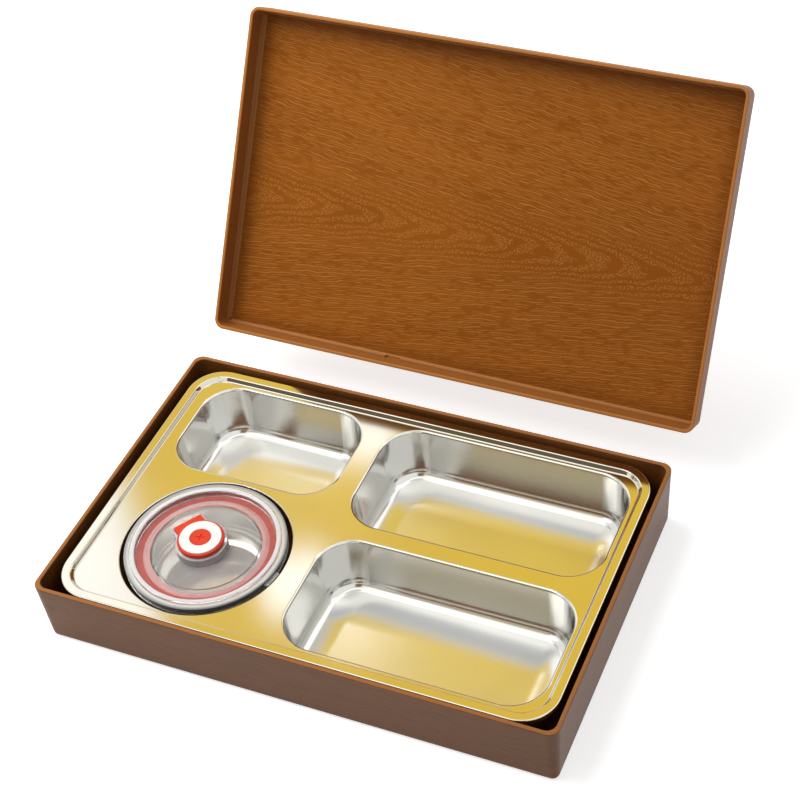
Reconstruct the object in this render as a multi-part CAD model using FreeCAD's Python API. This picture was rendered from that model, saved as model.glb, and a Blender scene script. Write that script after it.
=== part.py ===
import FreeCAD
import Part
import math
import os

# A bento lunch box: outer box, overlapping lid, pressed steel tray and a covered soup bowl.
# Millimetres. The origin is the middle of the box's underside, +X along the box, -Y its front.

# Outer box
BOX_LENGTH = 300.0
BOX_WIDTH = 192.0
BOX_HEIGHT = 41.0
BOX_WALL = 2.5
BOX_FLOOR = 2.5
BOX_CORNER = 6.0
BOX_LEAN = 2.2
BOX_RIM_ROUND = 0.7
BOX_FOOT_ROUND = 2.5
BOX_FLOOR_ROUND = 2.0

# Lid, closed over the box and then swung open about an axis behind it
LID_CLEARANCE = 0.4
LID_WALL = 2.0
LID_OVERLAP = 11.0
LID_LEDGE = 1.2
LID_SEAT_GAP = 0.1
LID_HEADROOM = 4.4
LID_TOP = 2.2
LID_FLARE = 0.3
LID_CORNER = 6.0
LID_RIM_ROUND = 0.6
LID_TOP_ROUND = 2.5
LID_INNER_ROUND = 1.0
NOTCH_WIDTH = 10.0
NOTCH_FROM_MIDDLE = 37.5
HINGE_BEHIND = 17.0
HINGE_BELOW_RIM = 12.5
LID_SWING = 122.5

# Tray
TRAY_SHEET = 0.7
TRAY_END_GAP = 4.0
TRAY_SIDE_GAP = 2.0
TRAY_SINK = 3.0
TRAY_CORNER = 21.0
TRAY_EDGE_ROUND = 0.9
LIP_DROP = 3.0
BAND_WIDTH = 5.2
STEP_RUN = 1.4
STEP_DROP = 2.6
STEP_ROUND = 0.8

# Pockets and the round opening in the tray
POCKET_CORNER = 21.0
POCKET_LEAN = 3.0
POCKET_FOOT_ROUND = 6.0
POCKET_MOUTH_ROUND = 1.5
POCKET_BACK_MARGIN = 2.9
MAIN_END_MARGIN = 3.3
MAIN_GAP = 12.0
SIDE_END_MARGIN = 7.5
COLUMN_WEB = 14.6
ROW_WEB = 4.0
OPENING_END_MARGIN = 13.9
OPENING_FRONT_MARGIN = 1.5
OPENING_ROUND = 0.6
COLLAR_DROP = 4.0

# Bowl
BOWL_SHEET = 0.7
BOWL_RIM_WIDTH = 3.0
BOWL_NECK = 8.0
BOWL_LEAN = 6.0
BOWL_FOOT_ROUND = 12.0

# Bowl cover
COVER_RADIUS = 45.0
COVER_SHEET = 1.1
COVER_SINK = 3.6
COVER_GAP = 2.4
COVER_SEAT_GAP = 0.1
COVER_EDGE_ROUND = 0.9
COVER_RIDGE_WIDTH = 2.6
COVER_RIDGE_RISE = 0.8
COVER_RIDGE_ROUND = 0.7
SKIRT_CLEARANCE = 0.4
SKIRT_DROP = 4.0
CHANNEL_DROP = 3.2
CHANNEL_WIDTH = 4.2
PANEL_DROP = 1.9
PANEL_SLOPE_RUN = 2.2
STUB_DROP = 2.2
STUB_WALL = 1.6
PULL_WIDTH = 10.0
PULL_ANGLE = -12.0
PULL_ABOVE_SKIRT = 2.5
PULL_CLEARANCE = 0.5

# Vent near the middle of the cover
VENT_SHIFT_X = -1.5
VENT_SHIFT_Y = -1.0
BOSS_MARGIN = 1.4
BOSS_HEIGHT = 5.1
BOSS_ROUND = 0.5
BORE_RADIUS = 6.2
BORE_FLOOR = 0.5
VENT_HOLE_RADIUS = 2.0
STEM_CLEARANCE = 0.4
STEM_END_GAP = 0.3
PLUG_RADIUS = 13.0
PLUG_HEIGHT = 2.7
PLUG_ROUND = 0.6
RING_MARGIN = 1.3
RING_SINK = 0.6
RING_HEIGHT = 1.3
RING_WIDTH = 5.7
RING_ROUND = 0.3
RING_CLEARANCE = 0.1
HUB_SLIT_LENGTH = 5.0
HUB_SLIT_WIDTH = 0.5
HUB_SLIT_DEPTH = 0.5
TAB_REACH = 16.3
TAB_WIDTH = 17.0
TAB_SINK = 0.9
TAB_THICKNESS = 1.6
TAB_ANGLE = 145.7
TAB_CORNER = 0.8

# Seal round the cover's stub
SEAL_WIDTH = 7.4
SEAL_HEIGHT = 1.9
SEAL_LIP_REACH = 1.7
SEAL_LIP_HEIGHT = 0.8
SEAL_ROUND = 0.5

# Places worked out from the sizes above
HALF_LENGTH = BOX_LENGTH / 2
HALF_WIDTH = BOX_WIDTH / 2
UP = FreeCAD.Vector(0, 0, 1)
EDGE_TOLERANCE = 1e-4

TRAY_HALF_X = HALF_LENGTH - BOX_WALL - TRAY_END_GAP
TRAY_HALF_Y = HALF_WIDTH - BOX_WALL - TRAY_SIDE_GAP
TRAY_RIM_Z = BOX_HEIGHT - TRAY_SINK
DECK_Z = TRAY_RIM_Z - STEP_DROP
DECK_HALF_X = TRAY_HALF_X - BAND_WIDTH - STEP_RUN
DECK_HALF_Y = TRAY_HALF_Y - BAND_WIDTH - STEP_RUN

OPENING_RADIUS = COVER_RADIUS + COVER_GAP
BOWL_X = -DECK_HALF_X + OPENING_END_MARGIN + OPENING_RADIUS
BOWL_Y = -DECK_HALF_Y + OPENING_FRONT_MARGIN + OPENING_RADIUS

COVER_TOP_Z = BOX_HEIGHT - COVER_SINK
COVER_UNDER_Z = COVER_TOP_Z - COVER_SHEET
BOWL_RIM_Z = COVER_UNDER_Z - COVER_SEAT_GAP
BOWL_RIM_RADIUS = COVER_RADIUS - COVER_SHEET - SKIRT_CLEARANCE
BOWL_MOUTH_RADIUS = BOWL_RIM_RADIUS - BOWL_RIM_WIDTH
SKIRT_Z = COVER_UNDER_Z - SKIRT_DROP
CHANNEL_OUTER_RADIUS = BOWL_MOUTH_RADIUS - SKIRT_CLEARANCE
CHANNEL_Z = COVER_TOP_Z - CHANNEL_DROP
CHANNEL_UNDER_Z = CHANNEL_Z - COVER_SHEET
CHANNEL_INNER_RADIUS = CHANNEL_OUTER_RADIUS - COVER_SHEET - CHANNEL_WIDTH
SEAL_OUTER_RADIUS = CHANNEL_OUTER_RADIUS - SEAL_LIP_REACH
STUB_OUTER_RADIUS = SEAL_OUTER_RADIUS - SEAL_WIDTH
PANEL_Z = COVER_TOP_Z - PANEL_DROP
PANEL_UNDER_Z = PANEL_Z - COVER_SHEET
STUB_Z = PANEL_UNDER_Z - STUB_DROP
VENT = (BOWL_X + VENT_SHIFT_X, BOWL_Y + VENT_SHIFT_Y)
BORE_Z = PANEL_Z + BORE_FLOOR
BOSS_Z = PANEL_Z + BOSS_HEIGHT
PLUG_Z = BOSS_Z + PLUG_HEIGHT
RING_RADIUS = PLUG_RADIUS - RING_MARGIN
RING_Z = PLUG_Z - RING_SINK
HUB_Z = RING_Z + RING_HEIGHT


def rounded_rectangle(middle, half_x, half_y, radius, z):
    """A closed wire in the plane z, with arcs of the given radius at its corners."""
    wires = []
    ends = []
    for turn in range(4):
        angle = math.radians(90 * turn)
        sign_x = 1 if turn in (0, 3) else -1
        sign_y = 1 if turn in (0, 1) else -1
        corner_x = middle[0] + sign_x * (half_x - radius)
        corner_y = middle[1] + sign_y * (half_y - radius)
        points = []
        for part in (0, math.pi / 4, math.pi / 2):
            x = corner_x + radius * math.cos(angle + part)
            y = corner_y + radius * math.sin(angle + part)
            points.append(FreeCAD.Vector(x, y, z))
        wires.append(Part.Arc(*points).toShape())
        ends.append((points[0], points[2]))
    for turn in range(4):
        line = Part.LineSegment(ends[turn][1], ends[(turn + 1) % 4][0])
        wires.append(line.toShape())
    return Part.Wire(Part.__sortEdges__(wires))


def leaning_block(middle, low, high):
    """A block between two rounded rectangles, each given as half x, half y, corner radius and z."""
    sections = [rounded_rectangle(middle, *size) for size in (low, high)]
    return Part.makeLoft(sections, True, True)


def level_edges(shape, z, middle=(0.0, 0.0), half_x=BOX_LENGTH, half_y=BOX_LENGTH):
    """The edges that lie at height z, inside a rectangle round the middle that is given."""
    found = []
    for edge in shape.Edges:
        box = edge.BoundBox
        level = abs(box.ZMin - z) < EDGE_TOLERANCE and abs(box.ZMax - z) < EDGE_TOLERANCE
        near_x = max(abs(box.XMin - middle[0]), abs(box.XMax - middle[0])) < half_x
        near_y = max(abs(box.YMin - middle[1]), abs(box.YMax - middle[1])) < half_y
        if level and near_x and near_y:
            found.append(edge)
    return found


def turned(corners, middle=(0.0, 0.0)):
    """A solid turned about a vertical axis from corners given as radius, z and corner rounding."""
    count = len(corners)
    edges = []
    ends = []
    for n in range(count):
        before = FreeCAD.Vector(corners[n - 1][0], 0, corners[n - 1][1])
        here = FreeCAD.Vector(corners[n][0], 0, corners[n][1])
        after = FreeCAD.Vector(corners[(n + 1) % count][0], 0, corners[(n + 1) % count][1])
        radius = corners[n][2] if len(corners[n]) > 2 else 0.0
        if not radius:
            ends.append((here, here))
            continue
        back = (before - here).normalize()
        on = (after - here).normalize()
        half = back.getAngle(on) / 2
        reach = radius / math.tan(half)
        centre = here + (back + on).normalize() * (radius / math.sin(half))
        nearest = centre + (here - centre).normalize() * radius
        ends.append((here + back * reach, here + on * reach))
        edges.append(Part.Arc(ends[n][0], nearest, ends[n][1]).toShape())
    for n in range(count):
        start = ends[n][1]
        stop = ends[(n + 1) % count][0]
        if start.distanceToPoint(stop) > EDGE_TOLERANCE:
            edges.append(Part.LineSegment(start, stop).toShape())
    face = Part.Face(Part.Wire(Part.__sortEdges__(edges)))
    solid = face.revolve(FreeCAD.Vector(), UP, 360)
    solid.translate(FreeCAD.Vector(middle[0], middle[1], 0))
    return solid


def make_base_box():
    """The outer box: an open tub whose walls lean in towards its foot."""
    slope = BOX_LEAN / BOX_HEIGHT
    foot = (HALF_LENGTH - BOX_LEAN, HALF_WIDTH - BOX_LEAN, BOX_CORNER - BOX_LEAN, 0)
    rim = (HALF_LENGTH, HALF_WIDTH, BOX_CORNER, BOX_HEIGHT)
    tub = leaning_block((0, 0), foot, rim)
    tub = tub.makeFillet(BOX_FOOT_ROUND, level_edges(tub, 0))
    rim_in = [size - BOX_WALL for size in rim[:2]]
    floor_lean = slope * (BOX_HEIGHT - BOX_FLOOR)
    inner_corner = BOX_CORNER - BOX_RIM_ROUND
    floor = (rim_in[0] - floor_lean, rim_in[1] - floor_lean, inner_corner - floor_lean, BOX_FLOOR)
    mouth = (rim_in[0], rim_in[1], inner_corner, BOX_HEIGHT)
    hollow = leaning_block((0, 0), floor, mouth)
    hollow = hollow.makeFillet(BOX_FLOOR_ROUND, level_edges(hollow, BOX_FLOOR))
    tub = tub.cut(hollow)
    return tub.makeFillet(BOX_RIM_ROUND, level_edges(tub, BOX_HEIGHT))


def make_lid():
    """The lid, made closed over the box and then swung open. Its ledge stops on the box rim."""
    rim_z = BOX_HEIGHT - LID_OVERLAP
    ledge_z = BOX_HEIGHT + LID_SEAT_GAP
    ceiling_z = ledge_z + LID_HEADROOM
    top_z = ceiling_z + LID_TOP
    wide = LID_CLEARANCE + LID_FLARE + LID_WALL
    rim = (HALF_LENGTH + wide, HALF_WIDTH + wide, LID_CORNER, rim_z)
    lean = LID_FLARE * (top_z - rim_z) / LID_OVERLAP
    top = (rim[0] - lean, rim[1] - lean, LID_CORNER - lean, top_z)
    lid = leaning_block((0, 0), rim, top)
    lid = lid.makeFillet(LID_TOP_ROUND, level_edges(lid, top_z))
    inner_corner = LID_CORNER - LID_WALL
    mouth = (rim[0] - LID_WALL, rim[1] - LID_WALL, inner_corner, rim_z)
    seat = (HALF_LENGTH + LID_CLEARANCE, HALF_WIDTH + LID_CLEARANCE, inner_corner - LID_FLARE, ledge_z)
    lid = lid.cut(leaning_block((0, 0), mouth, seat))
    crown_x = seat[0] - LID_LEDGE
    crown_y = seat[1] - LID_LEDGE
    crown_low = (crown_x, crown_y, inner_corner - LID_LEDGE, ledge_z)
    crown_high = (crown_x, crown_y, inner_corner - LID_LEDGE, ceiling_z)
    crown = leaning_block((0, 0), crown_low, crown_high)
    crown = crown.makeFillet(LID_INNER_ROUND, level_edges(crown, ceiling_z))
    lid = lid.cut(crown)
    notch = Part.makeBox(NOTCH_WIDTH, LID_LEDGE + LID_INNER_ROUND, LID_HEADROOM - LID_INNER_ROUND)
    notch_x = -NOTCH_FROM_MIDDLE - NOTCH_WIDTH / 2
    notch.translate(FreeCAD.Vector(notch_x, crown_y - LID_INNER_ROUND, ledge_z))
    lid = lid.cut(notch)
    lid = lid.makeFillet(LID_RIM_ROUND, level_edges(lid, rim_z))
    axis = FreeCAD.Vector(0, HALF_WIDTH + HINGE_BEHIND, BOX_HEIGHT - HINGE_BELOW_RIM)
    lid.rotate(axis, FreeCAD.Vector(1, 0, 0), -LID_SWING)
    return lid


def pocket_places():
    """Each pocket's middle and half sizes at its mouth, from the margins and webs of the deck."""
    main_right = DECK_HALF_X - MAIN_END_MARGIN
    main_left = BOWL_X + OPENING_RADIUS + COLUMN_WEB
    main_half_x = (main_right - main_left) / 2
    main_half_y = (DECK_HALF_Y - POCKET_BACK_MARGIN - MAIN_GAP / 2) / 2
    main_x = (main_right + main_left) / 2
    main_y = MAIN_GAP / 2 + main_half_y
    side_left = -DECK_HALF_X + SIDE_END_MARGIN
    side_right = main_left - COLUMN_WEB
    side_back = DECK_HALF_Y - POCKET_BACK_MARGIN
    side_front = BOWL_Y + OPENING_RADIUS + ROW_WEB
    side_x = (side_left + side_right) / 2
    side_y = (side_front + side_back) / 2
    return [
        ((main_x, main_y), main_half_x, main_half_y),
        ((main_x, -main_y), main_half_x, main_half_y),
        ((side_x, side_y), (side_right - side_left) / 2, (side_back - side_front) / 2),
    ]


def pocket(place, spread, floor_z, top_z, foot_round):
    """A pocket's block: its mouth at the deck, grown by spread, down to a floor with a rounded foot."""
    middle, half_x, half_y = place
    slope = POCKET_LEAN / (DECK_Z - BOX_FLOOR - TRAY_SHEET)
    sizes = []
    for z in (floor_z, top_z):
        lean = slope * (DECK_Z - z) - spread
        sizes.append((half_x - lean, half_y - lean, POCKET_CORNER - lean, z))
    block = leaning_block(middle, *sizes)
    return block.makeFillet(foot_round, level_edges(block, floor_z))


def make_tray():
    """The tray: a rim band with a turned-down lip, a step down to the deck, pockets and an opening."""
    edge = (TRAY_HALF_X, TRAY_HALF_Y, TRAY_CORNER)
    lip_z = TRAY_RIM_Z - LIP_DROP
    body = leaning_block((0, 0), edge + (lip_z,), edge + (TRAY_RIM_Z,))
    inside = tuple(size - TRAY_SHEET for size in edge)
    under_z = TRAY_RIM_Z - TRAY_SHEET
    body = body.cut(leaning_block((0, 0), inside + (lip_z,), inside + (under_z,)))
    body = body.makeFillet(TRAY_EDGE_ROUND, level_edges(body, TRAY_RIM_Z))
    step_low = (DECK_HALF_X, DECK_HALF_Y, TRAY_CORNER - BAND_WIDTH - STEP_RUN)
    step_high = tuple(size + STEP_RUN for size in step_low)
    dish_low = tuple(size + TRAY_SHEET for size in step_low) + (DECK_Z - TRAY_SHEET,)
    dish_high = tuple(size + TRAY_SHEET for size in step_high) + (TRAY_RIM_Z - TRAY_SHEET / 2,)
    body = body.fuse(leaning_block((0, 0), dish_low, dish_high))
    places = pocket_places()
    for place in places:
        foot = POCKET_FOOT_ROUND + TRAY_SHEET
        body = body.fuse(pocket(place, TRAY_SHEET, BOX_FLOOR, DECK_Z - TRAY_SHEET / 2, foot))
    collar = Part.makeCylinder(OPENING_RADIUS + TRAY_SHEET, COLLAR_DROP)
    collar.translate(FreeCAD.Vector(BOWL_X, BOWL_Y, DECK_Z - COLLAR_DROP))
    body = body.fuse(collar)
    step = leaning_block((0, 0), step_low + (DECK_Z,), step_high + (TRAY_RIM_Z,))
    step = step.makeFillet(STEP_ROUND, level_edges(step, DECK_Z))
    body = body.cut(step)
    for place in places:
        floor_z = BOX_FLOOR + TRAY_SHEET
        body = body.cut(pocket(place, 0.0, floor_z, DECK_Z, POCKET_FOOT_ROUND))
    hole = Part.makeCylinder(OPENING_RADIUS, BOX_HEIGHT)
    hole.translate(FreeCAD.Vector(BOWL_X, BOWL_Y, 0))
    body = body.cut(hole).removeSplitter()
    step_x, step_y = (size + TRAY_SHEET for size in step_high[:2])
    body = body.makeFillet(STEP_ROUND, level_edges(body, TRAY_RIM_Z, (0, 0), step_x, step_y))
    for middle, half_x, half_y in places:
        mouth = level_edges(body, DECK_Z, middle, half_x + TRAY_SHEET, half_y + TRAY_SHEET)
        body = body.makeFillet(POCKET_MOUTH_ROUND, mouth)
    reach = OPENING_RADIUS + TRAY_SHEET
    lip = level_edges(body, DECK_Z, (BOWL_X, BOWL_Y), reach, reach)
    return body.makeFillet(OPENING_ROUND, lip)


def make_soup_bowl():
    """The bowl: a flat foot, a leaning wall, a straight neck and a flat rim turned out."""
    wall = BOWL_MOUTH_RADIUS
    outer = wall + BOWL_SHEET
    neck_z = BOWL_RIM_Z - BOWL_NECK
    under_z = BOWL_RIM_Z - BOWL_SHEET
    foot = wall - BOWL_LEAN
    floor_z = BOX_FLOOR + BOWL_SHEET
    return turned(
        [
            (0, BOX_FLOOR),
            (foot + BOWL_SHEET, BOX_FLOOR, BOWL_FOOT_ROUND + BOWL_SHEET),
            (outer, neck_z, BOWL_NECK),
            (outer, under_z),
            (BOWL_RIM_RADIUS, under_z),
            (BOWL_RIM_RADIUS, BOWL_RIM_Z),
            (wall, BOWL_RIM_Z),
            (wall, neck_z, BOWL_NECK),
            (foot, floor_z, BOWL_FOOT_ROUND),
            (0, floor_z),
        ],
        (BOWL_X, BOWL_Y),
    )


def tab_block(margin, low, height):
    """A block from the middle of the plug to past the end of its tab, with its outer corners rounded."""
    width = TAB_WIDTH + 2 * margin
    block = Part.makeBox(TAB_REACH + margin, width, height)
    block.translate(FreeCAD.Vector(0, -width / 2, low))
    corners = []
    for edge in block.Edges:
        if edge.BoundBox.XMin > EDGE_TOLERANCE and edge.BoundBox.ZLength > EDGE_TOLERANCE:
            corners.append(edge)
    return block.makeFillet(TAB_CORNER + margin, corners)


def make_bowl_cover():
    """The cover: a skirt outside the bowl's rim, a ridge, a sunk channel, and a boss under the plug."""
    panel_edge = CHANNEL_INNER_RADIUS - PANEL_SLOPE_RUN
    stub_inner = STUB_OUTER_RADIUS - STUB_WALL
    channel_wall = CHANNEL_OUTER_RADIUS - COVER_SHEET
    ridge_z = COVER_TOP_Z + COVER_RIDGE_RISE
    cover = turned(
        [
            (0, PANEL_UNDER_Z),
            (stub_inner, PANEL_UNDER_Z),
            (stub_inner, STUB_Z),
            (STUB_OUTER_RADIUS, STUB_Z),
            (STUB_OUTER_RADIUS, PANEL_UNDER_Z),
            (panel_edge, PANEL_UNDER_Z),
            (CHANNEL_INNER_RADIUS, CHANNEL_UNDER_Z),
            (CHANNEL_OUTER_RADIUS, CHANNEL_UNDER_Z),
            (CHANNEL_OUTER_RADIUS, COVER_UNDER_Z),
            (COVER_RADIUS - COVER_SHEET, COVER_UNDER_Z),
            (COVER_RADIUS - COVER_SHEET, SKIRT_Z),
            (COVER_RADIUS, SKIRT_Z),
            (COVER_RADIUS, COVER_TOP_Z, COVER_EDGE_ROUND),
            (channel_wall + COVER_RIDGE_WIDTH, COVER_TOP_Z),
            (channel_wall + COVER_RIDGE_WIDTH, ridge_z, COVER_RIDGE_ROUND),
            (channel_wall, ridge_z, COVER_RIDGE_ROUND),
            (channel_wall, CHANNEL_Z, COVER_EDGE_ROUND),
            (CHANNEL_INNER_RADIUS, CHANNEL_Z),
            (panel_edge, PANEL_Z),
            (0, PANEL_Z),
        ],
        (BOWL_X, BOWL_Y),
    )
    boss_radius = PLUG_RADIUS + BOSS_MARGIN
    boss = turned(
        [
            (0, PANEL_UNDER_Z),
            (boss_radius, PANEL_UNDER_Z),
            (boss_radius, BOSS_Z),
            (0, BOSS_Z),
        ]
    )
    boss = boss.fuse(tab_block(BOSS_MARGIN, PANEL_UNDER_Z, BOSS_Z - PANEL_UNDER_Z)).removeSplitter()
    boss = boss.makeFillet(BOSS_ROUND, level_edges(boss, BOSS_Z))
    boss.rotate(FreeCAD.Vector(), UP, TAB_ANGLE)
    boss.translate(FreeCAD.Vector(VENT[0], VENT[1], 0))
    bore = turned(
        [
            (0, PANEL_UNDER_Z),
            (VENT_HOLE_RADIUS, PANEL_UNDER_Z),
            (VENT_HOLE_RADIUS, BORE_Z),
            (BORE_RADIUS, BORE_Z),
            (BORE_RADIUS, BOSS_Z),
            (0, BOSS_Z),
        ],
        VENT,
    )
    cover = cover.fuse(boss).cut(bore)
    pull_z = SKIRT_Z + PULL_ABOVE_SKIRT
    reach = OPENING_RADIUS - PULL_CLEARANCE
    pull = Part.makeBox(reach, PULL_WIDTH, COVER_SHEET)
    pull.translate(FreeCAD.Vector(0, -PULL_WIDTH / 2, pull_z))
    pull = pull.common(Part.makeCylinder(reach, BOX_HEIGHT))
    pull = pull.cut(Part.makeCylinder(COVER_RADIUS - COVER_SHEET / 2, BOX_HEIGHT))
    pull.rotate(FreeCAD.Vector(), UP, PULL_ANGLE)
    pull.translate(FreeCAD.Vector(BOWL_X, BOWL_Y, 0))
    return cover.fuse(pull).removeSplitter()


def make_cover_seal():
    """The seal: a ring under the channel, stretched round the stub, with a lip towards the bowl."""
    low = CHANNEL_UNDER_Z - SEAL_HEIGHT
    lip_z = (low + CHANNEL_UNDER_Z) / 2
    return turned(
        [
            (STUB_OUTER_RADIUS, low),
            (SEAL_OUTER_RADIUS, low, SEAL_ROUND),
            (SEAL_OUTER_RADIUS, lip_z - SEAL_LIP_HEIGHT),
            (CHANNEL_OUTER_RADIUS, lip_z - SEAL_LIP_HEIGHT / 2),
            (CHANNEL_OUTER_RADIUS, lip_z),
            (SEAL_OUTER_RADIUS, lip_z + SEAL_LIP_HEIGHT / 2),
            (SEAL_OUTER_RADIUS, CHANNEL_UNDER_Z),
            (STUB_OUTER_RADIUS, CHANNEL_UNDER_Z),
        ],
        (BOWL_X, BOWL_Y),
    )


def make_vent_plug():
    """The plug: a stem in the boss, a disc with a groove for the ring, a slit hub and a square tab."""
    hub = RING_RADIUS - RING_WIDTH - RING_CLEARANCE
    stem = BORE_RADIUS - STEM_CLEARANCE
    plug = turned(
        [
            (0, BORE_Z + STEM_END_GAP),
            (stem, BORE_Z + STEM_END_GAP, PLUG_ROUND),
            (stem, BOSS_Z),
            (PLUG_RADIUS, BOSS_Z, PLUG_ROUND),
            (PLUG_RADIUS, PLUG_Z, PLUG_ROUND),
            (RING_RADIUS + RING_CLEARANCE, PLUG_Z),
            (RING_RADIUS + RING_CLEARANCE, RING_Z),
            (hub, RING_Z),
            (hub, HUB_Z, RING_ROUND),
            (0, HUB_Z),
        ]
    )
    tab = tab_block(0.0, PLUG_Z - TAB_SINK - TAB_THICKNESS, TAB_THICKNESS)
    plug = plug.fuse(tab).removeSplitter()
    for angle in (45, 135):
        slit = Part.makeBox(HUB_SLIT_LENGTH, HUB_SLIT_WIDTH, HUB_SLIT_DEPTH)
        slit.translate(FreeCAD.Vector(-HUB_SLIT_LENGTH / 2, -HUB_SLIT_WIDTH / 2, HUB_Z - HUB_SLIT_DEPTH))
        slit.rotate(FreeCAD.Vector(), UP, angle)
        plug = plug.cut(slit)
    plug.rotate(FreeCAD.Vector(), UP, TAB_ANGLE)
    plug.translate(FreeCAD.Vector(VENT[0], VENT[1], 0))
    return plug


def make_vent_ring():
    """The white ring in the plug's groove."""
    inner = RING_RADIUS - RING_WIDTH
    return turned(
        [
            (inner, RING_Z),
            (RING_RADIUS, RING_Z),
            (RING_RADIUS, HUB_Z, RING_ROUND),
            (inner, HUB_Z, RING_ROUND),
        ],
        VENT,
    )


PIECES = {
    "base_box": make_base_box,
    "lid": make_lid,
    "tray": make_tray,
    "soup_bowl": make_soup_bowl,
    "bowl_cover": make_bowl_cover,
    "cover_seal": make_cover_seal,
    "vent_plug": make_vent_plug,
    "vent_ring": make_vent_ring,
}

os.makedirs("parts", exist_ok=True)
for name, make in PIECES.items():
    piece = make()
    piece.exportStep("parts/" + name + ".step")
    print(name, piece.isValid(), len(piece.Solids), round(piece.Volume, 1), piece.BoundBox)
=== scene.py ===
import math

import bpy
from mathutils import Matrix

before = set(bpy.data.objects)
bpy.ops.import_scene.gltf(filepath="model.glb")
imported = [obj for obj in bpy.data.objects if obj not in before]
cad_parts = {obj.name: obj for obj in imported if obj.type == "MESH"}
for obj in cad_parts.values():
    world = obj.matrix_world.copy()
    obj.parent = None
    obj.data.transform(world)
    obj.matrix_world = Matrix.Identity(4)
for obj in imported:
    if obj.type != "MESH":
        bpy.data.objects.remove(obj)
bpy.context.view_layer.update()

bpy.context.scene.view_settings.view_transform = "Standard"
bpy.ops.object.select_all(action="DESELECT")


# Outer box. An open tub of brown plastic moulded in one piece, with walls that lean in to a flat foot.
# Its skin has a fine moulded wood grain that runs level round the walls, and a satin sheen.
# The tray and the bowl stand loose on its floor.
def add(tree, kind, feeds=None, **settings):
    """A node with its settings made, and each input given a value or linked to the socket that feeds it."""
    made = tree.nodes.new(kind)
    for name, value in settings.items():
        setattr(made, name, value)
    for name, value in (feeds or {}).items():
        if isinstance(value, bpy.types.NodeSocket):
            tree.links.new(value, made.inputs[name])
        else:
            made.inputs[name].default_value = value
    return made


def sum_of(tree, operation, first, second=0.0, third=0.0):
    """One step of arithmetic on sockets or numbers."""
    return add(tree, "ShaderNodeMath", {0: first, 1: second, 2: third}, operation=operation).outputs[0]


def between(tree, value, low, high, smooth=True):
    """How far a value has come from low to high, held between 0 and 1."""
    kind = "SMOOTHSTEP" if smooth else "LINEAR"
    feeds = {"Value": value, "From Min": low, "From Max": high}
    return add(tree, "ShaderNodeMapRange", feeds, interpolation_type=kind).outputs["Result"]


def blend(tree, factor, first, second):
    """A number on the way from the first to the second."""
    return add(tree, "ShaderNodeMix", {"Factor": factor, "A": first, "B": second}).outputs[0]


def blend_colors(tree, factor, first, second):
    """A colour on the way from the first to the second."""
    made = add(tree, "ShaderNodeMix", {"Factor": factor}, data_type="RGBA")
    for socket, value in ((made.inputs[6], first), (made.inputs[7], second)):
        if isinstance(value, bpy.types.NodeSocket):
            tree.links.new(value, socket)
        else:
            socket.default_value = value
    return made.outputs[2]


def cells(tree, along, across, along_count, across_count, detail=1.0):
    """Soft random values with so many cells to the metre in two directions."""
    far = sum_of(tree, "MULTIPLY", along, along_count)
    wide = sum_of(tree, "MULTIPLY", across, across_count)
    place = add(tree, "ShaderNodeCombineXYZ", {"X": far, "Y": wide}).outputs[0]
    feeds = {"Vector": place, "Scale": 1.0, "Detail": detail}
    return add(tree, "ShaderNodeTexNoise", feeds, noise_dimensions="2D").outputs["Fac"]


def new_group(name, inputs, outputs):
    """An empty shader group with its named inputs and outputs, and the sockets inside it."""
    tree = bpy.data.node_groups.new(name, "ShaderNodeTree")
    for label, kind in inputs.items():
        tree.interface.new_socket(label, in_out="INPUT", socket_type=kind)
    for label, kind in outputs.items():
        tree.interface.new_socket(label, in_out="OUTPUT", socket_type=kind)
    inside = tree.nodes.new("NodeGroupInput")
    result = tree.nodes.new("NodeGroupOutput")
    return tree, inside.outputs, result.inputs


def new_material(name, **values):
    """A material with one Principled shader, whose plain values are set on its own sockets."""
    made = bpy.data.materials.new(name)
    made.use_nodes = True
    shader = made.node_tree.nodes["Principled BSDF"]
    for label, value in values.items():
        shader.inputs[label.replace("_", " ")].default_value = value
    return made, made.node_tree, shader.inputs


def dress(node, material):
    """Gives a CAD node its material."""
    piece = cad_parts[node]
    piece.data.materials.clear()
    piece.data.materials.append(material)


COLOR = "NodeSocketColor"
FLOAT = "NodeSocketFloat"

ROW_SPACING = 0.0026
ROW_WAVER = 0.003
ROW_RIPPLE = 0.0012
WAVER_CELLS = (40, 110)
RIPPLE_CELLS = (170, 300)
DOT_CELLS = (900, 1250)
TONE_CELLS = (7, 60)
LONG_DASHES = 85
SHORT_DASHES = 150
LONG_LINE_EDGE = 0.00052
SHORT_LINE_EDGE = 0.00042
SHORT_LINE_SHARE = 0.65
ROW_APART = 7.3
DASH_SLANT = 60
DASH_CUT = (0.3, 0.52)
DOT_CUT = (0.48, 0.62)
DOT_ROW = (0.33, 0.25)
SOFT_CUT = (0.3, 0.7)
grain, given, result = new_group(
    "moulded_wood_grain",
    {
        "Along": FLOAT,
        "Cross": FLOAT,
        "Row": FLOAT,
        "Spread": FLOAT,
        "Figure": FLOAT,
        "Marks": FLOAT,
        "Dark": COLOR,
        "Middle": COLOR,
        "Light": COLOR,
    },
    {"Color": COLOR, "Height": FLOAT},
)
waver = cells(grain, given["Along"], given["Cross"], *WAVER_CELLS)
sway = sum_of(grain, "MULTIPLY_ADD", waver, ROW_WAVER, -ROW_WAVER / 2)
row = sum_of(grain, "ADD", given["Row"], sway)
ripple = cells(grain, given["Along"], given["Cross"], *RIPPLE_CELLS)
row = sum_of(grain, "MULTIPLY_ADD", ripple, ROW_RIPPLE, row)
count = sum_of(grain, "DIVIDE", row, ROW_SPACING)


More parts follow.
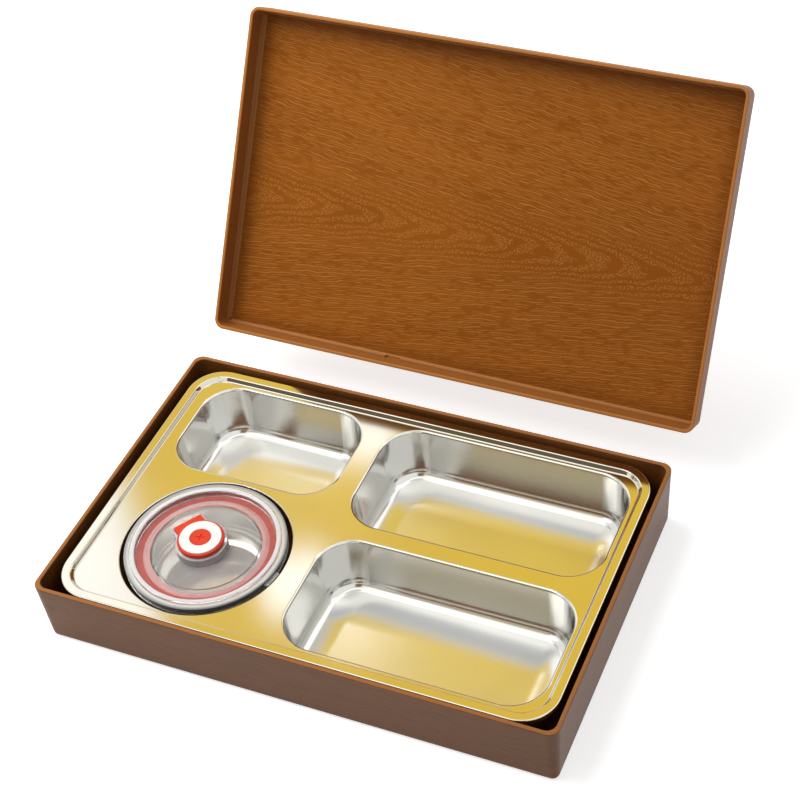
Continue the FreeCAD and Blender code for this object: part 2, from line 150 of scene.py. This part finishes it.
def row_lines(shift, dash_count, edge):
    """Thin broken lines along the rows, and how far a place is from its row's middle."""
    shifted = sum_of(grain, "ADD", count, shift)
    off = sum_of(grain, "ABSOLUTE", sum_of(grain, "SUBTRACT", sum_of(grain, "FRACT", shifted), 0.5))
    away = sum_of(grain, "DIVIDE", sum_of(grain, "MULTIPLY", off, ROW_SPACING), given["Spread"])
    line = between(grain, away, edge, edge / 3)
    number = sum_of(grain, "MULTIPLY", sum_of(grain, "FLOOR", shifted), ROW_APART)
    number = sum_of(grain, "MULTIPLY_ADD", given["Cross"], DASH_SLANT, number)
    dashes = cells(grain, given["Along"], number, dash_count, 1.0)
    return sum_of(grain, "MULTIPLY", line, between(grain, dashes, *DASH_CUT)), off


long_lines, off_middle = row_lines(0.0, LONG_DASHES, LONG_LINE_EDGE)
short_lines = row_lines(0.5, SHORT_DASHES, SHORT_LINE_EDGE)[0]
strokes = sum_of(grain, "MAXIMUM", long_lines, sum_of(grain, "MULTIPLY", short_lines, SHORT_LINE_SHARE))
specks = cells(grain, given["Along"], given["Cross"], *DOT_CELLS, detail=0.0)
dots = between(grain, specks, *DOT_CUT)
dots = sum_of(grain, "MULTIPLY", dots, between(grain, off_middle, *DOT_ROW))
marks = blend(grain, given["Figure"], strokes, dots)
marks = sum_of(grain, "MULTIPLY", marks, given["Marks"])
tone = between(grain, cells(grain, given["Along"], row, *TONE_CELLS, detail=2.0), *SOFT_CUT)
ground = blend_colors(grain, tone, given["Dark"], given["Middle"])
grain.links.new(blend_colors(grain, marks, ground, given["Light"]), result["Color"])
grain.links.new(marks, result["Height"])

# The rim's lighter orange band is a painted highlight along the top of the walls.
BOX_RIM = (0.0405, 0.0409)
BOX_RIM_HIGHLIGHT = (0.36, 0.14, 0.04, 1)
GRAIN_BUMP = {"Strength": 0.3, "Distance": 0.0003}
box_plastic, tree, shader = new_material("box_wood_plastic", Roughness=0.4, Specular_IOR_Level=0.19)
place = add(tree, "ShaderNodeSeparateXYZ", {0: add(tree, "ShaderNodeTexCoord").outputs["Object"]}).outputs
feeds = {
    "Along": sum_of(tree, "ADD", place["X"], place["Y"]),
    "Cross": place["Z"],
    "Row": place["Z"],
    "Spread": 1.0,
    "Marks": 0.5,
    "Dark": (0.13, 0.045, 0.009, 1),
    "Middle": (0.16, 0.055, 0.011, 1),
    "Light": (0.22, 0.085, 0.025, 1),
}
wood = add(tree, "ShaderNodeGroup", feeds, node_tree=grain)
# Painted highlight: the band along the rim's top is blended to a lighter orange.
rim_highlight = between(tree, place["Z"], *BOX_RIM)
skin = blend_colors(tree, rim_highlight, wood.outputs["Color"], BOX_RIM_HIGHLIGHT)
tree.links.new(skin, shader["Base Color"])
bump = add(tree, "ShaderNodeBump", {**GRAIN_BUMP, "Height": wood.outputs["Height"]})
tree.links.new(bump.outputs[0], shader["Normal"])
dress("base_box", box_plastic)


# Tray. One sheet of stainless steel, pressed into a stepped rim, a flat deck, three food pockets
# and a round opening. The deck and rim are polished and the pockets are left satin.
# It stands on the box's floor by the undersides of its pockets, and lifts out.
BRUSH_CELLS = (60, 3000)
CAST_CELLS = (14, 14)
BRUSH_UNEVENNESS = 0.02
finish, given, result = new_group(
    "steel_finish",
    {"Along": FLOAT, "Across": FLOAT, "Roughness": FLOAT, "Dull": COLOR, "Bright": COLOR},
    {"Color": COLOR, "Roughness": FLOAT},
)
brush = cells(finish, given["Along"], given["Across"], *BRUSH_CELLS, detail=2.0)
streak = sum_of(finish, "SUBTRACT", brush, 0.5)
rough = sum_of(finish, "MULTIPLY_ADD", streak, BRUSH_UNEVENNESS, given["Roughness"])
cast = between(finish, cells(finish, given["Along"], given["Across"], *CAST_CELLS, detail=2.0), *SOFT_CUT)
finish.links.new(rough, result["Roughness"])
finish.links.new(blend_colors(finish, cast, given["Dull"], given["Bright"]), result["Color"])

DISH_TILT = 0.15
DISH_REACH = 0.010
DISH_BACK_REACH = 0.023
dish, given, result = new_group(
    "dished_floor",
    {"Place": FLOAT, "Low": FLOAT, "High": FLOAT, "Low Reach": FLOAT, "High Reach": FLOAT},
    {"Tilt": FLOAT},
)
from_low = sum_of(dish, "SUBTRACT", given["Place"], given["Low"])
from_high = sum_of(dish, "SUBTRACT", given["High"], given["Place"])
rise = between(dish, from_low, given["Low Reach"], 0.0, smooth=False)
fall = between(dish, from_high, given["High Reach"], 0.0, smooth=False)
tilt = sum_of(dish, "MULTIPLY", sum_of(dish, "SUBTRACT", rise, fall), DISH_TILT)
dish.links.new(tilt, result["Tilt"])

SIDE_FLOOR_X = (-0.1198, -0.0378)
SIDE_FLOOR_Y = (0.0249, 0.0725)
MAIN_FLOOR_X = (-0.004, 0.124)
BACK_FLOOR_Y = (0.0155, 0.0725)
FRONT_FLOOR_Y = (-0.0725, -0.0155)
COLUMN_WEB_X = -0.021
POCKET_TOP = (0.036, 0.034)
WALL_FOOT = (0.010, 0.015)
WALL_HEAD = (0.036, 0.033)
FLOOR_TOP = (0.010, 0.005)
DECK_ROUGHNESS = 0.045
POCKET_ROUGHER = 0.1
WALL_ROUGHER = 0.02
# The deck's warmer colours carry a painted gold reflection; the pockets keep the steel's plainer colour.
DECK_DULL_PAINTED_WARM_REFLECTION = (0.7, 0.665, 0.57, 1)
DECK_BRIGHT_PAINTED_WARM_REFLECTION = (0.73, 0.695, 0.6, 1)
POCKET_DULL = (0.7, 0.695, 0.67, 1)
POCKET_BRIGHT = (0.75, 0.745, 0.72, 1)
tray_steel, tree, shader = new_material("pressed_steel", Metallic=1.0)
place = add(tree, "ShaderNodeSeparateXYZ", {0: add(tree, "ShaderNodeTexCoord").outputs["Object"]}).outputs
satin = between(tree, place["Z"], *POCKET_TOP)
walls = between(tree, place["Z"], *WALL_FOOT)
walls = sum_of(tree, "MULTIPLY", walls, between(tree, place["Z"], *WALL_HEAD))
rough = sum_of(tree, "MULTIPLY_ADD", satin, POCKET_ROUGHER, DECK_ROUGHNESS)
# The deck gets the painted warm reflection and the pockets their own colour.
feeds = {
    "Along": place["X"],
    "Across": place["Y"],
    "Roughness": sum_of(tree, "MULTIPLY_ADD", walls, WALL_ROUGHER, rough),
    "Dull": blend_colors(tree, satin, DECK_DULL_PAINTED_WARM_REFLECTION, POCKET_DULL),
    "Bright": blend_colors(tree, satin, DECK_BRIGHT_PAINTED_WARM_REFLECTION, POCKET_BRIGHT),
}
steel = add(tree, "ShaderNodeGroup", feeds, node_tree=finish)
tree.links.new(steel.outputs["Roughness"], shader["Roughness"])
tree.links.new(steel.outputs["Color"], shader["Base Color"])


def tilt_of(place, low, high, high_reach):
    """How much a pocket's floor tilts in one direction, where it rises towards its walls."""
    feeds = {"Place": place, "Low": low, "High": high, "Low Reach": DISH_REACH, "High Reach": high_reach}
    return add(tree, "ShaderNodeGroup", feeds, node_tree=dish).outputs["Tilt"]


in_main = sum_of(tree, "GREATER_THAN", place["X"], COLUMN_WEB_X)
in_back = sum_of(tree, "GREATER_THAN", place["Y"], 0.0)
front_y = tilt_of(place["Y"], *FRONT_FLOOR_Y, DISH_BACK_REACH)
back_y = tilt_of(place["Y"], *BACK_FLOOR_Y, DISH_BACK_REACH)
side_y = tilt_of(place["Y"], *SIDE_FLOOR_Y, DISH_BACK_REACH)
main_x = tilt_of(place["X"], *MAIN_FLOOR_X, DISH_REACH)
side_x = tilt_of(place["X"], *SIDE_FLOOR_X, DISH_REACH)
tilt_x = blend(tree, in_main, side_x, main_x)
tilt_y = blend(tree, in_main, side_y, blend(tree, in_back, front_y, back_y))
tilt = add(tree, "ShaderNodeCombineXYZ", {"X": tilt_x, "Y": tilt_y}).outputs[0]
on_floor = between(tree, place["Z"], *FLOOR_TOP)
tilt = add(tree, "ShaderNodeVectorMath", {0: tilt, "Scale": on_floor}, operation="SCALE").outputs[0]
flat = add(tree, "ShaderNodeNewGeometry").outputs["Normal"]
dished = add(tree, "ShaderNodeVectorMath", {0: flat, 1: tilt}, operation="ADD").outputs[0]
dished = add(tree, "ShaderNodeVectorMath", {0: dished}, operation="NORMALIZE").outputs[0]
tree.links.new(dished, shader["Normal"])
dress("tray", tray_steel)


# Soup bowl. Spun stainless steel with a flat foot and a narrow rim turned out.
# It stands on the box's floor inside the tray's round opening, and lifts out with its cover on.
BOWL_MIDDLE = (-0.0756, -0.036, 0.0)


def round_the_bowl(tree):
    """How far a place is from the bowl's axis, and how high it is."""
    feeds = {0: add(tree, "ShaderNodeTexCoord").outputs["Object"], 1: BOWL_MIDDLE}
    spoke = add(tree, "ShaderNodeVectorMath", feeds, operation="SUBTRACT").outputs[0]
    place = add(tree, "ShaderNodeSeparateXYZ", {0: spoke}).outputs
    square = sum_of(tree, "MULTIPLY", place["X"], place["X"])
    square = sum_of(tree, "MULTIPLY_ADD", place["Y"], place["Y"], square)
    return sum_of(tree, "SQRT", square), place["Z"]


bowl_steel, tree, shader = new_material("spun_steel", Metallic=1.0)
radius, high = round_the_bowl(tree)
feeds = {
    "Along": high,
    "Across": radius,
    "Roughness": 0.13,
    "Dull": (0.68, 0.66, 0.63, 1),
    "Bright": (0.74, 0.72, 0.69, 1),
}
steel = add(tree, "ShaderNodeGroup", feeds, node_tree=finish)
tree.links.new(steel.outputs["Roughness"], shader["Roughness"])
tree.links.new(steel.outputs["Color"], shader["Base Color"])
dress("soup_bowl", bowl_steel)


# Bowl cover. Clear, slightly milky plastic moulded in one piece, with a skirt round the bowl's rim,
# a sunk channel, a flat window and a boss for the vent. It only rests on the bowl.
VECTOR = "NodeSocketVector"

SPECKLE_SCALE = 90.0
SPECKLE_UNEVENNESS = 0.12
skin_speckle, given, result = new_group(
    "moulded_skin",
    {"Place": VECTOR, "First": COLOR, "Second": COLOR, "Roughness": FLOAT},
    {"Color": COLOR, "Roughness": FLOAT},
)
feeds = {"Vector": given["Place"], "Scale": SPECKLE_SCALE, "Detail": 3.0}
speckle = add(skin_speckle, "ShaderNodeTexNoise", feeds).outputs["Fac"]
uneven = sum_of(skin_speckle, "SUBTRACT", speckle, 0.5)
rough = sum_of(skin_speckle, "MULTIPLY_ADD", uneven, SPECKLE_UNEVENNESS, given["Roughness"])
share = between(skin_speckle, speckle, *SOFT_CUT)
skin_speckle.links.new(blend_colors(skin_speckle, share, given["First"], given["Second"]), result["Color"])
skin_speckle.links.new(rough, result["Roughness"])


def give_skin(tree, shader, first, second, roughness):
    """Feeds a moulded piece's colour and roughness with their slight unevenness."""
    feeds = {
        "Place": add(tree, "ShaderNodeTexCoord").outputs["Object"],
        "First": first,
        "Second": second,
        "Roughness": roughness,
    }
    skin = add(tree, "ShaderNodeGroup", feeds, node_tree=skin_speckle)
    tree.links.new(skin.outputs["Color"], shader["Base Color"])
    tree.links.new(skin.outputs["Roughness"], shader["Roughness"])


MILK_COLOR = (0.88, 0.885, 0.885, 1)
SHADOW_TINT = (0.9, 0.9, 0.9, 1)
EDGE_ON = (0.4, 0.95)
EDGE_MILK = 0.35
LEAST_MILK = 0.06
RIDGE_HEIGHT = (0.0376, 0.038)
RIDGE_INNER = (0.0385, 0.0392)
RIDGE_MILK = 0.8
FLANGE_INNER = (0.0419, 0.0424)
FLANGE_HEIGHT = (0.036, 0.0368)
FLANGE_MILK = 0.4
SLOPE_OUTER = (0.0352, 0.0344)
SLOPE_INNER = (0.0303, 0.0313)
SLOPE_MILK = 0.2
BOSS_HEIGHT = (0.0357, 0.0365)
BOSS_OUTER = (0.03, 0.0285)
BOSS_MILK = 0.46
WINDOW_OUTER = (0.0303, 0.0295)
WINDOW_MILK = 0.19
clear_plastic, tree, shader = new_material("clear_cover_plastic", IOR=1.4, Transmission_Weight=1.0)
give_skin(tree, shader, (0.94, 0.94, 0.93, 1), (0.96, 0.965, 0.96, 1), 0.05)
radius, high = round_the_bowl(tree)
edge_on = add(tree, "ShaderNodeLayerWeight").outputs["Facing"]
milky = sum_of(tree, "MULTIPLY_ADD", between(tree, edge_on, *EDGE_ON), EDGE_MILK, LEAST_MILK)
ridge = sum_of(tree, "MULTIPLY", between(tree, high, *RIDGE_HEIGHT), between(tree, radius, *RIDGE_INNER))
flange = sum_of(tree, "MULTIPLY", between(tree, radius, *FLANGE_INNER), between(tree, high, *FLANGE_HEIGHT))
slope = sum_of(tree, "MULTIPLY", between(tree, radius, *SLOPE_OUTER), between(tree, radius, *SLOPE_INNER))
boss = sum_of(tree, "MULTIPLY", between(tree, high, *BOSS_HEIGHT), between(tree, radius, *BOSS_OUTER))
window = between(tree, radius, *WINDOW_OUTER)
thick_parts = (
    (ridge, RIDGE_MILK),
    (flange, FLANGE_MILK),
    (slope, SLOPE_MILK),
    (boss, BOSS_MILK),
    (window, WINDOW_MILK),
)
for part, share in thick_parts:
    milky = sum_of(tree, "MAXIMUM", milky, sum_of(tree, "MULTIPLY", part, share))
milk = add(tree, "ShaderNodeBsdfDiffuse", {"Color": MILK_COLOR}).outputs[0]
plastic = tree.nodes["Principled BSDF"].outputs[0]
plastic = add(tree, "ShaderNodeMixShader", {0: milky, 1: plastic, 2: milk}).outputs[0]
path = add(tree, "ShaderNodeLightPath").outputs
let_through = sum_of(tree, "MAXIMUM", path["Is Shadow Ray"], path["Is Diffuse Ray"])
open_air = add(tree, "ShaderNodeBsdfTransparent", {"Color": SHADOW_TINT}).outputs[0]
mixed = add(tree, "ShaderNodeMixShader", {0: let_through, 1: plastic, 2: open_air}).outputs[0]
tree.links.new(mixed, tree.nodes["Material Output"].inputs["Surface"])
dress("bowl_cover", clear_plastic)


# Cover seal. A moulded ring of red silicone with a lip towards the bowl.
# It is stretched round the stub under the cover and comes off with it.
seal_silicone, tree, shader = new_material("seal_silicone")
give_skin(tree, shader, (0.6, 0.06, 0.045, 1), (0.66, 0.08, 0.06, 1), 0.5)
dress("cover_seal", seal_silicone)


# Vent plug. Red silicone moulded in one piece, with a stem, a square tab and a groove for the ring.
# Its stem is pushed into the boss, and the tab lifts it.
plug_silicone, tree, shader = new_material("plug_silicone", Specular_IOR_Level=0.3)
give_skin(tree, shader, (0.72, 0.052, 0.02, 1), (0.78, 0.062, 0.025, 1), 0.45)
dress("vent_plug", plug_silicone)


# Vent ring. A flat ring of gloss white plastic, moulded by itself.
# It is set in the plug's groove and moves with the plug.
ring_plastic, tree, shader = new_material("ring_plastic")
give_skin(tree, shader, (0.91, 0.9, 0.87, 1), (0.94, 0.93, 0.91, 1), 0.28)
dress("vent_ring", ring_plastic)


# Lid. A shallow cap of orange-brown plastic moulded in one piece, which slips over the box's walls
# until its inner ledge stops on their rim. Its moulded grain has a pointed figure along the middle.
# Here it stands open behind the box, so its grain is laid out as if the lid were swung shut.
LID_SWING = math.radians(122.5)
SWING_AXIS = (0.0, 0.113, 0.0285)
PANEL_HALF_X = 0.1488
PANEL_HALF_Y = 0.0948
FIGURE_MIDDLE = 0.0145
FIGURE_SLOPE = 0.12
FIGURE_ROUND = 0.009
FIGURE_REACH = (0.022, 0.010)
PANEL_EDGE = (0.0004, -0.0004)
OUTSIDE_EDGE = (0.0022, 0.0028)
LEDGE_HEIGHT = (0.0409, 0.0413)
LEDGE_OUTER = (0.0009, 0.0006)
INNER_FACE = (0.0468, 0.0464)
LID_RIM = (0.0312, 0.0305)
CORNER_SHADE = (-0.012, 0.0)
CORNER_SHADE_SHARE = 0.4
PANEL_MARKS = 0.58
OUTSIDE_MARKS = 0.3
# Painted light in the lid's colours: the walls' paler tone is partly their plain face and partly painted
# sheen,
# the ledge and rim get painted highlights, and the corner colour is painted shade.
WALL_COLOR_AND_SHEEN = (0.33, 0.125, 0.03, 1)
LEDGE_HIGHLIGHT = (0.47, 0.215, 0.075, 1)
CORNER_SHADE_COLOR = (0.1, 0.028, 0.002, 1)
LID_RIM_HIGHLIGHT = (0.5, 0.19, 0.045, 1)
lid_plastic, tree, shader = new_material("lid_wood_plastic", Roughness=0.42, Specular_IOR_Level=0.16)
where = add(tree, "ShaderNodeTexCoord").outputs["Object"]
feeds = {"Vector": where, "Center": SWING_AXIS, "Angle": LID_SWING}
closed = add(tree, "ShaderNodeVectorRotate", feeds, rotation_type="X_AXIS").outputs[0]
place = add(tree, "ShaderNodeSeparateXYZ", {0: closed}).outputs
past_end = sum_of(tree, "SUBTRACT", sum_of(tree, "ABSOLUTE", place["X"]), PANEL_HALF_X)
past_side = sum_of(tree, "SUBTRACT", sum_of(tree, "ABSOLUTE", place["Y"]), PANEL_HALF_Y)
past_panel = sum_of(tree, "MAXIMUM", past_end, past_side)
panel = between(tree, past_panel, *PANEL_EDGE)
outside = between(tree, past_panel, *OUTSIDE_EDGE)
side = sum_of(tree, "SUBTRACT", place["Y"], FIGURE_MIDDLE)
arch = sum_of(tree, "SQRT", sum_of(tree, "MULTIPLY_ADD", side, side, FIGURE_ROUND**2))
ring = sum_of(tree, "MULTIPLY_ADD", place["X"], FIGURE_SLOPE, arch)
steep = sum_of(tree, "DIVIDE", side, arch)
spread = sum_of(tree, "SQRT", sum_of(tree, "MULTIPLY_ADD", steep, steep, FIGURE_SLOPE**2))
near_figure = between(tree, sum_of(tree, "ABSOLUTE", side), *FIGURE_REACH)
panel_marks = sum_of(tree, "MULTIPLY", panel, PANEL_MARKS)
feeds = {
    "Along": sum_of(tree, "MULTIPLY_ADD", place["Y"], outside, place["X"]),
    "Cross": blend(tree, outside, place["Y"], place["Z"]),
    "Row": blend(tree, outside, ring, place["Z"]),
    "Spread": blend(tree, outside, spread, 1.0),
    "Figure": sum_of(tree, "MULTIPLY", near_figure, panel),
    "Marks": sum_of(tree, "MULTIPLY_ADD", outside, OUTSIDE_MARKS, panel_marks),
    "Dark": (0.275, 0.075, 0.003, 1),
    "Middle": (0.315, 0.088, 0.004, 1),
    "Light": (0.5, 0.2, 0.04, 1),
}
wood = add(tree, "ShaderNodeGroup", feeds, node_tree=grain)
# The inner walls get a plain colour, paler and lighter than the panel as painted sheen, and the ledge a
# painted highlight.
inside_wall = sum_of(tree, "SUBTRACT", 1.0, sum_of(tree, "MAXIMUM", panel, outside))
ledge_highlight = between(tree, place["Z"], *LEDGE_HEIGHT)
ledge_highlight = sum_of(tree, "MULTIPLY", ledge_highlight, between(tree, past_panel, *LEDGE_OUTER))
wall_sheen_and_ledge_highlight = blend_colors(tree, ledge_highlight, WALL_COLOR_AND_SHEEN, LEDGE_HIGHLIGHT)
skin = blend_colors(tree, inside_wall, wood.outputs["Color"], wall_sheen_and_ledge_highlight)
# Painted shade: the panel darkens towards its edges next to the walls.
painted_corner_shade = sum_of(tree, "MULTIPLY", between(tree, past_panel, *CORNER_SHADE), panel)
painted_corner_shade = sum_of(tree, "MULTIPLY", painted_corner_shade, between(tree, place["Z"], *INNER_FACE))
skin = blend_colors(tree, sum_of(tree, "MULTIPLY", painted_corner_shade, CORNER_SHADE_SHARE), skin, CORNER_SHADE_COLOR)
# Painted highlight: a light orange band along the lid's rim.
rim_highlight = between(tree, place["Z"], *LID_RIM)
skin = blend_colors(tree, rim_highlight, skin, LID_RIM_HIGHLIGHT)
tree.links.new(skin, shader["Base Color"])
bump = add(tree, "ShaderNodeBump", {**GRAIN_BUMP, "Height": wood.outputs["Height"]})
tree.links.new(bump.outputs[0], shader["Normal"])
dress("lid", lid_plastic)


# Studio. A plain pale floor under soft light from above, in a white room. The room's windows,
# walls and dark places are soft-edged cards that only show as reflections, mostly in the steel.
FLOOR_SIZE = 8.0
FLOOR_PLACE = (0, 0, -0.0003)
FLOOR_GLOW = 0.66
bpy.ops.mesh.primitive_plane_add(size=FLOOR_SIZE, location=FLOOR_PLACE)
floor = bpy.context.object
floor.name = "studio_floor"
floor_paint, tree, shader = new_material(
    "floor_paint",
    Base_Color=(0.8, 0.8, 0.8, 1),
    Roughness=0.9,
    Emission_Color=(1, 1, 1, 1),
)
path = add(tree, "ShaderNodeLightPath").outputs
seen = sum_of(tree, "MAXIMUM", path["Is Glossy Ray"], path["Is Transmission Ray"])
seen = sum_of(tree, "MAXIMUM", seen, path["Is Camera Ray"])
tree.links.new(sum_of(tree, "MULTIPLY", seen, FLOOR_GLOW), shader["Emission Strength"])
floor.data.materials.append(floor_paint)

KEY_PLACE = (-0.6, 0.0, 1.0)
KEY_SIZE = 1.0
KEY_WATTS = 12.5
bpy.ops.object.light_add(type="AREA", location=KEY_PLACE)
key = bpy.context.object
key.name = "overhead_softbox"
key.data.size = KEY_SIZE
key.data.energy = KEY_WATTS
key.visible_glossy = False

world = bpy.data.worlds.new("white_room")
bpy.context.scene.world = world
world.use_nodes = True
tree = world.node_tree
DEGREES = math.degrees(1.0)
way_out = add(tree, "ShaderNodeTexCoord").outputs["Generated"]
look = add(tree, "ShaderNodeSeparateXYZ", {0: way_out}).outputs
left_of_back = sum_of(tree, "ARCTAN2", sum_of(tree, "MULTIPLY", look["X"], -1.0), look["Y"])
left_of_back = sum_of(tree, "MULTIPLY", left_of_back, DEGREES)
right_of_front = sum_of(tree, "ARCTAN2", look["X"], sum_of(tree, "MULTIPLY", look["Y"], -1.0))
right_of_front = sum_of(tree, "MULTIPLY", right_of_front, DEGREES)
height = sum_of(tree, "MULTIPLY", sum_of(tree, "ARCSINE", look["Z"]), DEGREES)


def hang(room, turn, left, right, low, high, soft, color):
    """The room with a soft-edged card of one colour hung in it, by its turn and height in degrees."""
    edges = ((turn, left, soft), (turn, right, -soft), (height, low, soft), (height, high, -soft))
    share = 1.0
    for value, edge, way in edges:
        share = sum_of(tree, "MULTIPLY", between(tree, value, edge - way, edge + way), share)
    return blend_colors(tree, share, room, color)


WHITE = (1, 1, 1, 1)
PLAIN_WALL = (1.05, 1.05, 1.03, 1)
WINDOW_LIGHT = (1.42, 1.44, 1.48, 1)
PALE_WALL = (1.5, 1.5, 1.45, 1)
CEILING_EDGE = (1.65, 1.64, 1.6, 1)
CEILING_MIDDLE = (0.85, 0.85, 0.83, 1)
MIDDLE_GREY = (0.55, 0.57, 0.59, 1)
GOLD_NEAR = (0.98, 0.69, 0.1, 1)
GOLD_FAR = (0.98, 0.7, 0.13, 1)
PANE_LIGHT = (1.7, 1.72, 1.78, 1)
BRIGHT_SPOT = (4.0, 4.0, 4.0, 1)
SOFT_SPOT = (3.2, 3.2, 3.2, 1)
LOW_GREY = (0.35, 0.32, 0.27, 1)
FRONT_WINDOW = (2.1, 2.08, 1.98, 1)
CREAM_WALL = (1.25, 1.2, 1.08, 1)
SHADED_WALL = (0.6, 0.54, 0.4, 1)
DARK_BROWN = (0.22, 0.16, 0.08, 1)
DARK_GREY = (0.16, 0.14, 0.11, 1)

# A window and a pale wall at the back, the ceiling, and a grey band under it.
room = hang(PLAIN_WALL, left_of_back, 40.6, 70, 36, 60, 1.0, WINDOW_LIGHT)
room = hang(room, left_of_back, -70, -12, 25, 66, 5.0, PALE_WALL)
room = blend_colors(tree, between(tree, height, 63, 69), room, CEILING_EDGE)
room = blend_colors(tree, between(tree, height, 74, 79), room, CEILING_MIDDLE)
room = hang(room, left_of_back, -20, 80, 56, 64, 3.5, MIDDLE_GREY)
# A gold wall beside the window, with two small panes and two bright spots on it.
gold_wall = blend_colors(tree, between(tree, left_of_back, 20, 38), GOLD_NEAR, GOLD_FAR)
room = hang(room, left_of_back, 6, 40.6, 38, 55.5, 1.0, gold_wall)
room = hang(room, left_of_back, 33, 36.0, 47.9, 49.6, 0.5, PANE_LIGHT)
room = hang(room, left_of_back, 31.2, 33.3, 49.3, 50.7, 0.4, BRIGHT_SPOT)
room = hang(room, left_of_back, 29, 31, 44, 45.6, 0.5, PANE_LIGHT)
room = hang(room, left_of_back, 31.2, 34.2, 44.6, 45.2, 0.3, SOFT_SPOT)
# A grey place low at the back, then the window, walls and dark places in front.
room = hang(room, left_of_back, -72, -38, -10, 24, 3.0, LOW_GREY)
room = hang(room, right_of_front, -60, -27, 30, 62, 3.0, FRONT_WINDOW)
room = hang(room, right_of_front, -27, -2, 24, 64, 3.0, CREAM_WALL)
room = hang(room, right_of_front, -28, -2, 24, 41, 4.0, SHADED_WALL)
room = hang(room, right_of_front, -3, 26, 26, 56, 4.0, DARK_BROWN)
room = hang(room, right_of_front, -36, -10, -14, 25, 3.0, DARK_GREY)

ROOM_GLOW = 0.36
path = add(tree, "ShaderNodeLightPath").outputs
seen = sum_of(tree, "MAXIMUM", path["Is Camera Ray"], path["Is Transmission Ray"])
seen = sum_of(tree, "MAXIMUM", seen, path["Is Glossy Ray"])
background = tree.nodes["Background"].inputs
tree.links.new(blend_colors(tree, path["Is Glossy Ray"], WHITE, room), background["Color"])
tree.links.new(sum_of(tree, "MULTIPLY_ADD", seen, 1.0 - ROOM_GLOW, ROOM_GLOW), background["Strength"])

CAMERA_PLACE = (0.36661, -0.60371, 0.80963)
CAMERA_TURN = (48.3749, 4.0195, 21.7028)
bpy.ops.object.camera_add(location=CAMERA_PLACE)
camera = bpy.context.object
camera.name = "photo_camera"
camera.rotation_euler = [math.radians(angle) for angle in CAMERA_TURN]
camera.data.sensor_width = 36.0
camera.data.lens = 85.5
camera.data.shift_x = -0.0917
camera.data.shift_y = -0.1112
bpy.context.scene.camera = camera
